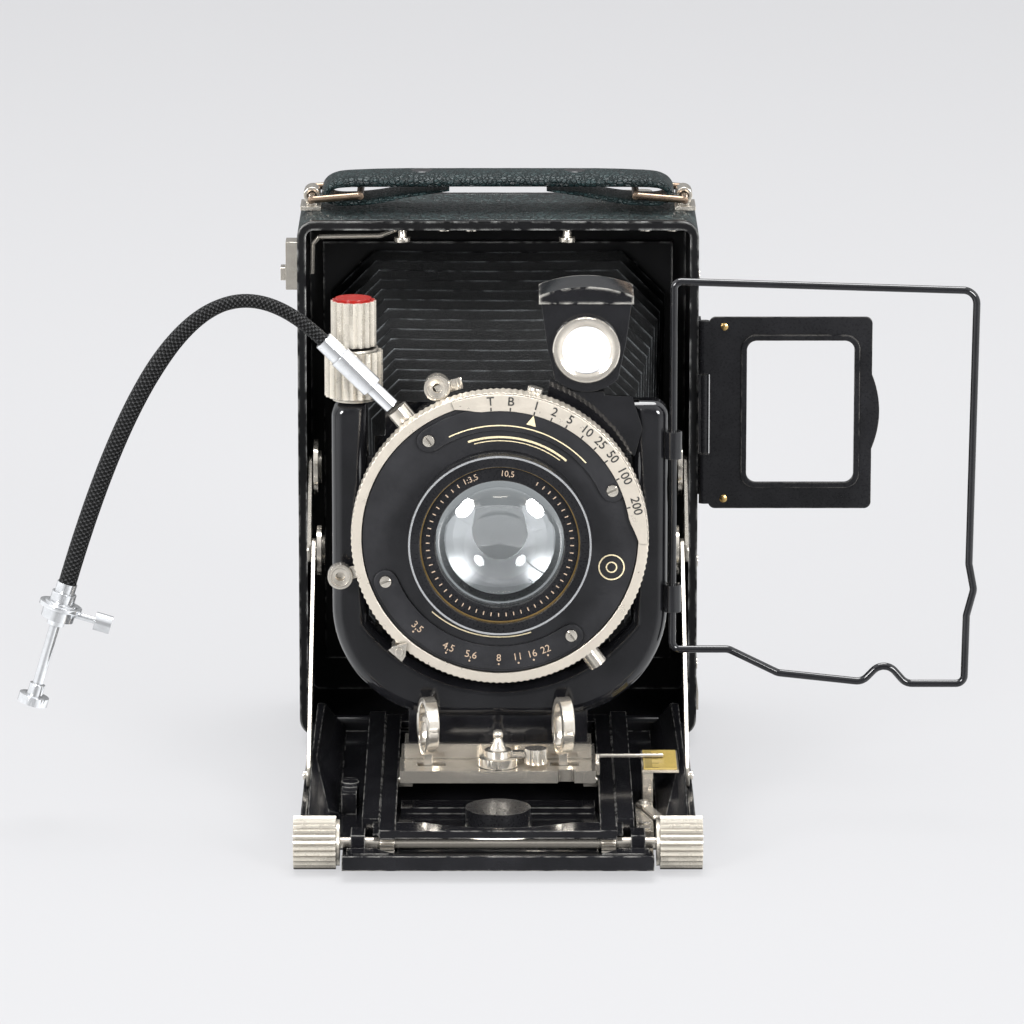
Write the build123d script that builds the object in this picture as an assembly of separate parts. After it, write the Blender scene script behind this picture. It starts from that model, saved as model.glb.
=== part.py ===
from build123d import *
import math
import os

# Folding plate camera for 6.5 x 9 cm plates, opened for use.
# Case frame: X to the right seen from the lens, Y towards the back, Z up.
# Y = 0 is the front face of the case and Z = 0 the underside of the case and of the opened bed.
# The saved parts are moved so that the origin is the mouth of the tripod socket.

# case
CASE_W = 90.0
CASE_H = 118.5
CASE_D = 38.0
CASE_R = 3.8
WALL = 2.0
COVER = 0.6
LIP = 2.4

# bed
BED_L = 115.5
BED_HALF = 42.5
BED_FLOOR = 0.6
BED_TOP = 1.8
NOTCH_X = 33.0
NOTCH_Y = -98.5
SOCKET_Y = -85.0
SOCKET_R = 4.76
SOCKET_LEN = 5.0

# track and focusing drive
RAIL_IN = 21.8
RAIL_OUT = 25.2
RAIL_Z0 = 5.07
RAIL_Z1 = 7.0
TRACK_FRONT = -108.5
TRACK_BACK = -8.0
SHAFT_Y = -105.0
SHAFT_Z = 3.4
SHAFT_R = 1.2
PINION_R = 2.0
PINION_TEETH = 12
KNOB_R = 5.7
KNOB_IN = 33.6
KNOB_OUT = 43.4

# standard
STANDARD_Y = -59.6
STANDARD_D = 5.8
ARM_OUT = 36.4
ARM_IN = 28.5
ARM_TOP = 89.4
ARM_BOTTOM = 19.0
ARM_ARC = 35.6
ARM_ROUND = 2.6
ARM_BEND = 25.0

# lens and shutter
LENS_X = 0.4
LENS_Z = 62.1
RING_R = 32.1
RING_IN = 29.8
RING_Y0 = -72.0
RING_Y1 = -67.0
SHUTTER_R = 30.6
SHUTTER_BACK = -61.0
SCALE_SCREWS = ((23.6, 125.4), (201.0, 305.8))
SCREW_CIRCLE = 26.4
BARREL_R = 19.75
BARREL_FRONT = -79.0
GLASS_R = 13.85

# rise knob and clamp knob share one upright axis on the left arm
RISE_X = -31.2
RISE_Y = -56.4

# strap
STRAP_Y = 19.0

# bellows
BELLOWS_BACK = 33.0
BELLOWS_FRONT = -53.0
FOLDS = 15
FOLD_DEPTH = 3.6

# finder, wire frame and mask
FINDER_X = 19.0
FINDER_Z = 102.0
FINDER_HALF = 9.7
FINDER_FRONT = -62.8
FINDER_BACK = -48.8
HOOD_Y = -49.3
HOOD_Z = 112.0
WIRE_X = 37.9
WIRE_Y = -59.0
WIRE_R = 0.8
MASK_X = 46.3
MASK_Y = -1.2

# cable release
CABLE_Y = -65.7
CABLE_R = 2.0
FERRULE_END = (-22.9, 89.9)
FERRULE_LENGTH = 20.5
LOCK_SCREW_AT = 6.5
BEND_OUT = 26.0
BEND_IN = 67.0
FERRULE_DIR = (-0.712, 0.702)
RELEASE_TOP = (-93.1, 51.0)
RELEASE_DIR = (-0.288, -0.9576)


def block(x0, x1, y0, y1, z0, z1):
    return Pos((x0 + x1) / 2, (y0 + y1) / 2, (z0 + z1) / 2) * Box(x1 - x0, y1 - y0, z1 - z0)


def rod_x(radius, x0, x1, y, z):
    return Pos((x0 + x1) / 2, y, z) * Rot(0, 90, 0) * Cylinder(radius, x1 - x0)


def rod_y(radius, y0, y1, x, z):
    return Pos(x, (y0 + y1) / 2, z) * Rot(90, 0, 0) * Cylinder(radius, y1 - y0)


def rod_z(radius, z0, z1, x, y):
    return Pos(x, y, (z0 + z1) / 2) * Cylinder(radius, z1 - z0)


def plate_x(face, x0, x1):
    return Pos(x0, 0, 0) * extrude(Plane.YZ * face, amount=x1 - x0)


def plate_y(face, y0, y1):
    return Pos(0, y1, 0) * extrude(Plane.XZ * face, amount=y1 - y0)


def plate_z(face, z0, z1):
    return Pos(0, 0, z0) * extrude(face, amount=z1 - z0)


def outline(*points):
    return make_face(Polyline(*points, close=True))


def rim_y(outer, inner, y0, y1, x=LENS_X, z=LENS_Z):
    return rod_y(outer, y0, y1, x, z) - rod_y(inner, y0 - 1, y1 + 1, x, z)


def fluted(radius, depth, count):
    """A round outline with shallow V grooves all round."""
    points = []
    for i in range(2 * count):
        r = radius - depth * (i % 2)
        a = math.pi * i / count
        points.append((r * math.cos(a), r * math.sin(a)))
    return make_face(Polyline(*points, close=True))


def mirrored(shape):
    return [shape, mirror(shape, about=Plane.YZ)]


def about_lens(shape, degrees):
    """Turn a shape drawn at three o'clock anticlockwise about the lens axis, seen from the front."""
    return Pos(LENS_X, 0, LENS_Z) * Rot(0, -degrees, 0) * shape


def save(node, *shapes):
    solids = [s for shape in shapes for s in shape.solids()]
    placed = [Pos(0, -SOCKET_Y, 0) * s for s in solids]
    whole = placed[0] if len(placed) == 1 else Compound(placed)
    export_step(whole, f"parts/{node}.step")


def case_outline(inset):
    return Pos(0, CASE_H / 2) * RectangleRounded(CASE_W - 2 * inset, CASE_H - 2 * inset, CASE_R - inset)


def make_case():
    lip = plate_y(case_outline(0), 0, LIP)
    lip += plate_y(case_outline(0), CASE_D - LIP, CASE_D)
    body = lip + plate_y(case_outline(COVER), 0, CASE_D)
    body -= plate_y(case_outline(WALL), -1, CASE_D - 2)
    body -= block(-31, 31, CASE_D - 3, CASE_D + 1, 15, 103)
    # knuckle of the bed hinge on the front edge of the floor
    body += rod_x(1.5, -13.8, 13.8, -1.7, 3.6) + block(-13.8, 13.8, -1.7, 0.5, 0.5, 3.6)
    body -= rod_x(0.82, -14, 14, -1.7, 3.6)
    save("case_shell", body)
    wrap = plate_y(case_outline(0), LIP, CASE_D - LIP)
    wrap -= plate_y(case_outline(COVER), 0, CASE_D)
    under = block(-NOTCH_X + 1.2, NOTCH_X - 1.2, -BED_L + 2.4, NOTCH_Y, 0, BED_FLOOR)
    under += block(-BED_HALF + 1.2, BED_HALF - 1.2, NOTCH_Y + 1.2, -4, 0, BED_FLOOR)
    under += block(-NOTCH_X + 1.2, NOTCH_X - 1.2, NOTCH_Y - 1, NOTCH_Y + 2, 0, BED_FLOOR)
    under -= rod_z(7.2, -1, 2, 0, SOCKET_Y)
    save("leather_covers", wrap, under)


def make_bed():
    plan = outline((-BED_HALF, -0.4), (-BED_HALF, NOTCH_Y), (-NOTCH_X, NOTCH_Y), (-NOTCH_X, -BED_L),
                   (NOTCH_X, -BED_L), (NOTCH_X, NOTCH_Y), (BED_HALF, NOTCH_Y), (BED_HALF, -0.4))
    bed = plate_z(plan, 0, BED_TOP)
    bed -= block(-NOTCH_X + 1.2, NOTCH_X - 1.2, -BED_L + 2.4, NOTCH_Y, -1, BED_FLOOR)
    bed -= block(-BED_HALF + 1.2, BED_HALF - 1.2, NOTCH_Y + 1.2, -4, -1, BED_FLOOR)
    bed -= block(-NOTCH_X + 1.2, NOTCH_X - 1.2, NOTCH_Y - 1, NOTCH_Y + 2, -1, BED_FLOOR)
    # sloping side cheeks, highest where the struts meet them
    for side in (-1, 1):
        xs = sorted((side * 34.4, side * 40.8))
        wedge = outline((-4, BED_TOP), (-4, 8.6), (-56, 9.4), (-66, 8.0), (-96.5, 3.4), (-96.5, BED_TOP))
        cheek = plate_x(wedge, *xs)
        top = outline((side * 34.2, BED_TOP + 0.6), (side * 40.2, 10), (side * 34.2, 10))
        bed += cheek - plate_y(top, -100, 0)
        bed += block(*sorted((side * 41.2, side * BED_HALF)), -97, -4, BED_TOP, 4)
    bed += block(-NOTCH_X, NOTCH_X, -BED_L, -BED_L + 1.2, 0, 3.2)
    # raised shoulders in the front corners and two ribs either side of the socket
    for side in (-1, 1):
        shoulder = outline((side * 22, -114), (side * 32, -114), (side * 32, -109.5), (side * 26, -109.5))
        bed += plate_z(shoulder, BED_TOP, 3.4)
    for y in (-97.5, -72.5):
        rib = block(-21, 21, y - 3, y + 3, BED_TOP, 3.2)
        bed += rib - rod_z(9.6, 0, 5, 0, SOCKET_Y)
    # windows under the pinions, socket hole, hinge knuckles
    for x in (-23.5, 23.5):
        bed -= block(x - 2.2, x + 2.2, SHAFT_Y - 2.8, SHAFT_Y + 2.8, BED_FLOOR, 4)
    bed -= rod_z(7.0, -1, 4, 0, SOCKET_Y)
    for x0, x1 in ((-38, -14.1), (14.1, 38)):
        bed += rod_x(1.5, x0, x1, -1.7, 3.6) + block(x0, x1, -3.2, -1.7, 1, 3.6)
    bed -= rod_x(0.82, -50, 50, -1.7, 3.6)
    bed -= block(-14.05, 14.05, -3.4, 0, -1, 6)
    save("bed_plate", bed)
    bush = rod_z(7.2, 0, BED_FLOOR, 0, SOCKET_Y) + rod_z(7.0, 0, SOCKET_LEN + 0.9, 0, SOCKET_Y)
    save("tripod_bush", bush - rod_z(SOCKET_R, -1, SOCKET_LEN, 0, SOCKET_Y))


def strut(points, width):
    """A flat bar with round ends between two pivots given as (y, z)."""
    (y0, z0), (y1, z1) = points
    length = math.hypot(y1 - y0, z1 - z0)
    turn = math.degrees(math.atan2(z1 - z0, y1 - y0))
    return Pos((y0 + y1) / 2, (z0 + z1) / 2) * Rot(0, 0, turn) * SlotCenterToCenter(length, width)


def make_struts():
    pivots = ((6.0, 61.0), (-8.0, 45.0), (-60.0, 6.4))
    upper = plate_x(strut(pivots[:2], 5.4), 41.9, 42.8)
    lower = plate_x(strut(pivots[1:], 5.4), 40.9, 41.8)
    pins = [rod_x(0.8, -38, 38, -1.7, 3.6)]
    for y, z in pivots:
        upper -= rod_x(1.0, 40, 44, y, z)
        lower -= rod_x(1.0, 40, 44, y, z)
    spans = ((41.3, 43.0), (40.3, 42.9), (40.8, 42.6))
    for (y, z), (x0, x1) in zip(pivots, spans):
        pins += mirrored(rod_x(0.95, x0, x1, y, z))
    # round hubs on the inner ends of the two upper pivots
    for (y, z), x, radius in ((pivots[0], 41.6, 6.4), (pivots[1], 40.6, 5.6)):
        hub = rod_x(radius, x - 1.0, x, y, z) + rod_x(0.6 * radius, x - 1.8, x, y, z)
        pins += mirrored(hub)
    save("struts", *mirrored(upper), *mirrored(lower - block(40, 42, -66, -50, 0, 4.05)))
    save("pivot_pins", *pins)


def make_track_guides():
    rail = block(25.3, 29.0, -99.6, -6.0, BED_TOP, 7.2)
    rail -= block(25.0, 26.6, -120, 0, 5.25, 6.35)
    bearing = block(28.2, 31.2, -108.2, -101.8, BED_TOP, 5.8)
    bearing -= rod_x(SHAFT_R + 0.05, 20, 40, SHAFT_Y, SHAFT_Z)
    bracket = block(-33.9, -30.6, -76, -62, BED_TOP, 6.4) + rod_z(1.9, BED_TOP, 7.4, -32.1, -69)
    save("track_guides", *mirrored(rail), *mirrored(bearing), bracket)


def make_track():
    pitch = 2 * math.pi * PINION_R / PINION_TEETH
    points = []
    low, high = RAIL_Z0, RAIL_Z0 + 0.7
    first = math.ceil((TRACK_FRONT + 1 - SHAFT_Y) / pitch)
    last = math.floor((TRACK_BACK - 1 - SHAFT_Y) / pitch)
    for i in range(first, last):
        gap = SHAFT_Y + i * pitch
        points += [(gap - 0.36, low), (gap - 0.26, high), (gap + 0.26, high), (gap + 0.36, low)]
    profile = outline((TRACK_FRONT, low), *points, (TRACK_BACK, low), (TRACK_BACK, RAIL_Z1), (TRACK_FRONT, RAIL_Z1))
    rail = plate_x(profile, RAIL_IN, RAIL_OUT) + block(RAIL_OUT, 26.5, TRACK_FRONT, TRACK_BACK, 5.85, 6.25)
    rail -= block(RAIL_IN - 1, 23.0, -101.4, -14.2, 5.8, 6.5)
    bar = block(-RAIL_IN, RAIL_IN, TRACK_FRONT, -101.6, 5.2, 6.9)
    bar -= rod_z(30.0, 0, 9, 0, -76.0)
    end = block(-RAIL_IN, RAIL_IN, -14, TRACK_BACK, 5.2, 6.9)
    left, right = mirrored(rail)
    save("track", left + right + bar + end)
    tooth_angle = 360 / PINION_TEETH
    tooth = outline((-0.30, PINION_R - 0.6), (0.30, PINION_R - 0.6), (0.14, PINION_R + 0.27), (-0.14, PINION_R + 0.27))
    wheel = Circle(PINION_R - 0.45)
    for i in range(PINION_TEETH):
        wheel += Rot(0, 0, i * tooth_angle) * tooth
    shaft = rod_x(SHAFT_R, -KNOB_IN + 0.1, KNOB_IN - 0.1, SHAFT_Y, SHAFT_Z)
    for x in (-25.0, 22.0):
        shaft += Pos(0, SHAFT_Y, SHAFT_Z) * plate_x(wheel, x, x + 3.0)
    save("focus_shaft", shaft)
    grip = Pos(0, SHAFT_Y, SHAFT_Z) * plate_x(fluted(KNOB_R, 0.5, 26), KNOB_IN + 0.8, KNOB_OUT)
    grip += rod_x(KNOB_R - 0.8, KNOB_IN, KNOB_IN + 0.9, SHAFT_Y, SHAFT_Z)
    grip -= rod_x(KNOB_R - 1.6, KNOB_OUT - 0.5, KNOB_OUT + 1, SHAFT_Y, SHAFT_Z)
    save("focus_knobs", *mirrored(grip))


def make_bed_plates():
    scale = block(31.2, 39.2, -72.5, -55.5, 10.2, 10.8)
    legs = block(31.4, 33.6, -72, -56, BED_TOP, 10.2)
    stop = block(29.6, 33.2, -99.5, -77, BED_TOP, 4.4)
    screws = [rod_z(1.3, 4.4, 4.9, 31.4, y) for y in (-97.5, -93.5)]
    save("scale_and_stop", scale + legs, stop, *screws)
    lever = Pos(31.4, -79.5) * SlotCenterToCenter(0.1, 3.2)
    lever += outline((30.4, -79.5), (32.4, -79.5), (35.2, -89.5), (33.4, -90.5))
    save("stop_lever", plate_z(lever, 4.5, 5.3) + rod_z(1.0, 5.2, 5.9, 31.4, -79.5))


def make_carriage():
    base = block(-21.2, 21.2, -70.0, -46.0, 7.2, 9.9)
    base -= block(13.0, 16.6, -71, -68.6, 7, 10)
    for side in (-1, 1):
        base += block(*sorted((side * 18.6, side * 21.6)), -66, -48, 5.4, 7.3)
        base += block(*sorted((side * 21.5, side * 22.9)), -66, -48, 5.9, 6.4)
    bench = block(-20.4, 20.4, -59.6, -50.0, 9.8, 13.3)
    bench -= block(-17.2, 17.2, -57.5, -55.3, 11.3, 14)
    base += bench
    # slots in the deck for the two finger grips
    for side in (-1, 1):
        base -= block(*sorted((side * 11.4, side * 17.6)), -65.6, -62.4, 8.2, 10.5)
    base -= rod_z(1.55, 8.0, 11, 0, -65.5)
    save("carriage_base", base)
    save("focus_pointer", block(21.2, 22.2, -64.4, -61.4, 7.6, 9.9) + rod_x(0.45, 22.1, 36.0, -63.0, 11.6)
         + rod_z(0.45, 9.8, 12.0, 21.7, -63.0) + block(21.6, 22.4, -63.4, -62.6, 11.2, 12.0))


def make_grips():
    for name, x in (("grip_left", -15.2), ("grip_right", 14.2)):
        ring = Pos(-64.0, 18.6) * Ellipse(3.8, 6.4)
        hole = Pos(-64.0, 18.6) * Ellipse(2.5, 5.0)
        grip = plate_x(ring, x - 1.3, x + 1.3) - plate_x(hole, x - 3, x + 3)
        grip = Pos(x, -64.0, 0) * Rot(0, 0, 20) * Pos(-x, 64.0, 0) * grip
        post = block(x - 0.9, x + 0.9, -65.2, -62.8, 8.3, 13.4)
        save(name, grip + post)


def make_shift_lock():
    turret = rod_z(1.5, 8.1, 10.1, 0, -65.5) + rod_z(4.2, 10.0, 12.0, 0, -65.5) + rod_z(3.0, 12.0, 13.6, 0, -65.5)
    turret += Pos(0, -65.5, 15.1) * Cone(2.0, 0.7, 3.0)
    turret += Pos(0, -65.5, 17.0) * Sphere(1.2)
    turret += block(0, 8, -66.5, -64.5, 12.1, 13.3)
    turret += Pos(8.2, -65.5, 0) * plate_z(fluted(2.5, 0.2, 24), 10.6, 13.9)
    save("shift_lock", turret)


def make_standard():
    low, high = ARM_BOTTOM, ARM_TOP
    face = Pos(LENS_X, (low + high) / 2) * Rectangle(2 * ARM_OUT, high - low)
    face = fillet(face.vertices().sort_by(Axis.Y)[:2], ARM_BEND)
    face = fillet(face.vertices().sort_by(Axis.Y)[-2:], 3.4)
    between = Pos(LENS_X, 90) * Rectangle(2 * ARM_IN, 70)
    keep = Pos(LENS_X, 60) * Rectangle(2 * ARM_IN, 90)
    arc = (Pos(LENS_X, LENS_Z) * Circle(ARM_ARC)) & keep
    frame = plate_y(face - between - arc, STANDARD_Y, STANDARD_Y + STANDARD_D)
    frame = fillet(frame.edges().filter_by(Plane.XZ).group_by(Axis.Y)[0], ARM_ROUND)
    frame -= block(LENS_X - 30.1, LENS_X + 30.1, -58.1, -55.9, 48, 95)
    frame -= block(-33.6, -28, -57.9, -55.1, 65, 87)
    frame -= rod_z(0.78, 60, 95, RISE_X, RISE_Y)
    # foot on the carriage
    frame += block(-19.5, 19.5, -58.4, -53.9, 13.35, 22.0)
    frame += block(-12, 12, -57.4, -55.4, 11.5, 13.4)
    # sleeves that carry the wire frame on the right arm
    for z in (46, 80):
        sleeve = rod_z(1.9, z - 3, z + 3, WIRE_X, WIRE_Y) + block(34.4, 37.9, WIRE_Y + 0.6, WIRE_Y + 1.9, z - 3, z + 3)
        frame += sleeve
    frame -= rod_z(WIRE_R + 0.06, 30, 100, WIRE_X, WIRE_Y)
    save("u_frame", frame)


def make_top_knobs():
    knob = Pos(RISE_X, RISE_Y, 0) * plate_z(fluted(6.3, 0.6, 20), 90.4, 100.4)
    knob += rod_z(4.6, 89.5, 90.5, RISE_X, RISE_Y) + rod_z(5.3, 100.3, 101.0, RISE_X, RISE_Y)
    screw = rod_z(0.7, 61, 90, RISE_X, RISE_Y)
    save("rise_knob", (knob + screw) - rod_z(1.0, 96, 102, RISE_X, RISE_Y))
    clamp = rod_z(0.95, 96.2, 101.6, RISE_X, RISE_Y)
    clamp += Pos(RISE_X, RISE_Y, 0) * plate_z(fluted(4.9, 0.5, 16), 101.5, 111.4)
    inlay = rod_z(3.9, 111.4, 111.9, RISE_X, RISE_Y)
    save("clamp_knob", clamp, inlay)


def make_lens_board():
    board = Pos(LENS_X, LENS_Z) * Circle(30.0)
    board += Pos(LENS_X, LENS_Z + 3) * Rectangle(59.6, 24)
    board &= Pos(LENS_X, LENS_Z) * Rectangle(59.6, 61)
    plate = plate_y(board, -57.9, -56.1)
    plate += rim_y(26.0, 15.0, -60.9, -57.8)
    plate += block(-33.2, -29.0, -57.6, -55.4, 70, 76)
    plate -= rod_y(15.0, -62, -50, LENS_X, LENS_Z)
    plate -= rod_z(0.76, 60, 95, RISE_X, RISE_Y)
    frame = plate_y((Pos(LENS_X, LENS_Z) * Rectangle(54.4, 52.8)) & board, -56.2, -53.6)
    frame += plate_y(Pos(LENS_X, LENS_Z) * Rectangle(54.4, 52.8), -53.7, -53.02)
    frame -= plate_y(Pos(LENS_X, LENS_Z) * Rectangle(44, 44), -57, -50)
    # clear of the rise knob when the board is raised
    frame -= block(LENS_X - 30, RISE_X + 6.7, -54, -53, 81, 90)
    save("lens_board", plate + frame)


def make_shutter():
    case = rod_y(SHUTTER_R, RING_Y1 + 0.05, SHUTTER_BACK, LENS_X, LENS_Z)
    case += rod_y(RING_IN - 0.08, -70.6, RING_Y1 + 0.1, LENS_X, LENS_Z)
    case -= rod_y(28.0, -71, -62.4, LENS_X, LENS_Z)
    case -= rod_y(14.0, -63, -60, LENS_X, LENS_Z)
    for start, stop in ((84, 118), (191, 214), (223, 303)):
        case -= slot_sector(start, stop)
    save("shutter_case", case)
    plate = rim_y(29.6, 12.6, -71.4, -70.6)
    save("face_plate", plate)
    scales = []
    screws = []
    for start, stop in SCALE_SCREWS:
        scale = sector_plate(28.9, 23.8, start, stop, -72.2, -71.4)
        for angle in (start, stop):
            scale += about_lens(rod_y(2.5, -72.2, -71.4, SCREW_CIRCLE, 0), angle)
            scale -= about_lens(rod_y(1.3, -74, -70, SCREW_CIRCLE, 0), angle)
            slot = block(SCREW_CIRCLE - 1.7, SCREW_CIRCLE + 1.7, -73, -72.3, -0.2, 0.2)
            screws.append(about_lens(rod_y(1.25, -72.6, -71.4, SCREW_CIRCLE, 0) - slot, angle))
        scales.append(scale)
    save("scale_plates", *scales)
    save("plate_screws", *screws)
    ring = plate_y(Pos(LENS_X, LENS_Z) * fluted(RING_R, 0.25, 150), RING_Y0, RING_Y1)
    save("speed_ring", ring - rod_y(RING_IN, -80, -60, LENS_X, LENS_Z))


def sector_plate(outer, inner, start, stop, y0, y1):
    """Part of a flat ring between two angles, measured anticlockwise from three o'clock."""
    steps = 24
    angles = [math.radians(start + (stop - start) * i / steps) for i in range(steps + 1)]
    rim = [(LENS_X + outer * math.cos(a), LENS_Z + outer * math.sin(a)) for a in angles]
    bore = [(LENS_X + inner * math.cos(a), LENS_Z + inner * math.sin(a)) for a in reversed(angles)]
    return plate_y(outline(*rim, *bore), y0, y1)


def slot_sector(start, stop):
    return sector_plate(32, 27, start, stop, -64.6, -63.2)


def make_levers():
    arm = block(26.4, 33.0, -64.4, -63.4, -1.3, 1.3)
    cup = rod_y(2.8, -65.8, -62.4, 34.4, 0) - rod_y(2.1, -66, -65.3, 34.4, 0) - rod_y(1.0, -66, -62.8, 34.4, 0)
    save("cocking_lever", about_lens(arm + cup, 113.1) + sector_plate(34.8, 32.4, 104, 114, -64.4, -63.4))
    long_arm = block(26.4, 34.0, -64.4, -63.4, -1.3, 1.3)
    far_cup = rod_y(2.7, -65.4, -62.6, 36.0, 0) - rod_y(2.0, -66, -64.9, 36.0, 0) - rod_y(1.0, -66, -63.0, 36.0, 0)
    save("release_lever", about_lens(long_arm + far_cup, 196.2))
    pointer = block(26.4, 34.2, -64.4, -63.4, -1.2, 1.2)
    pointer += block(32.9, 34.2, -73.4, -63.4, -1.2, 1.2)
    tip = outline((34.2, -1.9), (34.2, 1.9), (32.8, 1.7), (30.4, 0), (32.8, -1.7))
    pointer += plate_y(tip, -73.4, -72.5)
    pointer += rod_y(0.9, -73.9, -73.4, 33.0, 0)
    save("aperture_pointer", about_lens(pointer, 228.7))


def make_lens():
    front = rim_y(BARREL_R, 17.2, BARREL_FRONT, -76.2)
    front += plate_y(Pos(LENS_X, LENS_Z) * fluted(18.8, 0.3, 110), -76.2, -74.0)
    front += rod_y(19.4, -74.0, -71.4, LENS_X, LENS_Z) + rod_y(12.4, -71.5, -67.0, LENS_X, LENS_Z)
    front -= rod_y(17.2, -80, -76.4, LENS_X, LENS_Z)
    front -= rod_y(GLASS_R, -76.5, -72.0, LENS_X, LENS_Z) + rod_y(11.0, -73, -60, LENS_X, LENS_Z)
    rear = rim_y(13.8, 10.6, -63.6, -57.0)
    rear += rim_y(14.9, 10.6, -57.0, -52.0)
    rear -= rod_y(12.4, -54.6, -51, LENS_X, LENS_Z)
    save("lens_cells", front, rear)
    ring = rim_y(17.1, GLASS_R + 0.05, -77.6, -76.4)
    save("lens_ring", ring)
    front_glass = rod_y(GLASS_R - 0.05, -79.0, -72.0, LENS_X, LENS_Z) & (Pos(LENS_X, -46.3, LENS_Z) * Sphere(31.6))
    rear_glass = rod_y(12.3, -54.6, -50.0, LENS_X, LENS_Z) & (Pos(LENS_X, -83.6, LENS_Z) * Sphere(32.0))
    save("lens_glasses", front_glass, rear_glass)
    leaves = []
    for i in range(5):
        leaf = sector_plate(24.0, 4.0, i * 72, i * 72 + 96, -66.6 + i * 0.16, -66.5 + i * 0.16)
        leaves.append(leaf)
    for i in range(8):
        leaf = sector_plate(24.0, 12.6, i * 45, i * 45 + 110, -65.6 + i * 0.1, -65.54 + i * 0.1)
        leaves.append(leaf)
    save("shutter_and_iris_leaves", *leaves)


def make_fittings():
    socket = rod_x(2.4, 30.5, 35.0, -64.5, 0) - rod_y(SHUTTER_R, -70, -60, 0, 0)
    post = rod_x(2.1, 30.5, 36.6, -64.2, 0) - rod_y(SHUTTER_R, -70, -60, 0, 0)
    button = rod_x(1.7, 30.5, 32.6, -64.6, 0) - rod_y(SHUTTER_R, -70, -60, 0, 0)
    save("shutter_fittings", about_lens(socket, 129.5), about_lens(post, 305.7), about_lens(button, 76.3))


def point_along(start, direction, distance):
    return (start[0] + distance * direction[0], start[1] + distance * direction[1])


def release_point(distance):
    return point_along(RELEASE_TOP, RELEASE_DIR, distance)


def ferrule_point(distance):
    return point_along(FERRULE_END, FERRULE_DIR, distance)


def rod_in_cable_plane(radius, start, stop):
    (x0, z0), (x1, z1) = start, stop
    turn = math.degrees(math.atan2(z1 - z0, x1 - x0))
    middle = Pos((x0 + x1) / 2, CABLE_Y, (z0 + z1) / 2)
    return middle * Rot(0, -turn, 0) * Rot(0, 90, 0) * Cylinder(radius, math.dist(start, stop))


def release_rod(radius, start, stop):
    return rod_in_cable_plane(radius, release_point(start), release_point(stop))


def ferrule_rod(radius, start, stop):
    return rod_in_cable_plane(radius, ferrule_point(start), ferrule_point(stop))


def lock_rod(radius, start, stop):
    """Rod at right angles to the plunger, measured from the plunger's axis."""
    across = (-RELEASE_DIR[1], RELEASE_DIR[0])
    middle = release_point(LOCK_SCREW_AT)
    return rod_in_cable_plane(radius, point_along(middle, across, start), point_along(middle, across, stop))


def make_cable():
    # one smooth bend that leaves along the ferrule and arrives along the plunger
    corners = [ferrule_point(FERRULE_LENGTH), ferrule_point(FERRULE_LENGTH + BEND_OUT),
               release_point(-BEND_IN), release_point(0.1)]
    line = Bezier(*[(x, CABLE_Y, z) for x, z in corners])
    sheath = sweep(Plane(origin=line @ 0, z_dir=line % 0) * Circle(CABLE_R), path=line)
    save("release_cable", sheath)
    # ferrule at the shutter: narrow neck, thick sleeve and a slimmer sleeve over the end of the cable
    ferrule = ferrule_rod(1.7, 0, 6.5) + ferrule_rod(2.5, 6, 15.5) + ferrule_rod(2.15, 15.4, FERRULE_LENGTH)
    barrel = release_rod(2.2, 0.12, 2.4) + release_rod(2.7, 2.4, 4.6) + release_rod(3.6, 4.6, 8.4)
    barrel += release_rod(4.7, 5.0, 5.9) + release_rod(1.9, 8.4, 9.8)
    barrel -= release_rod(1.25, 1.6, 12)
    barrel -= lock_rod(0.75, 1.4, 6.0)
    save("cable_ends", ferrule, barrel)
    save("lock_screw", lock_rod(0.7, 1.9, 8.2) + lock_rod(2.0, 8.0, 11.6))
    save("plunger", release_rod(1.15, 7.6, 26.4) + release_rod(1.7, 23.6, 26.4) + release_rod(3.3, 26.2, 28.1))


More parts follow.
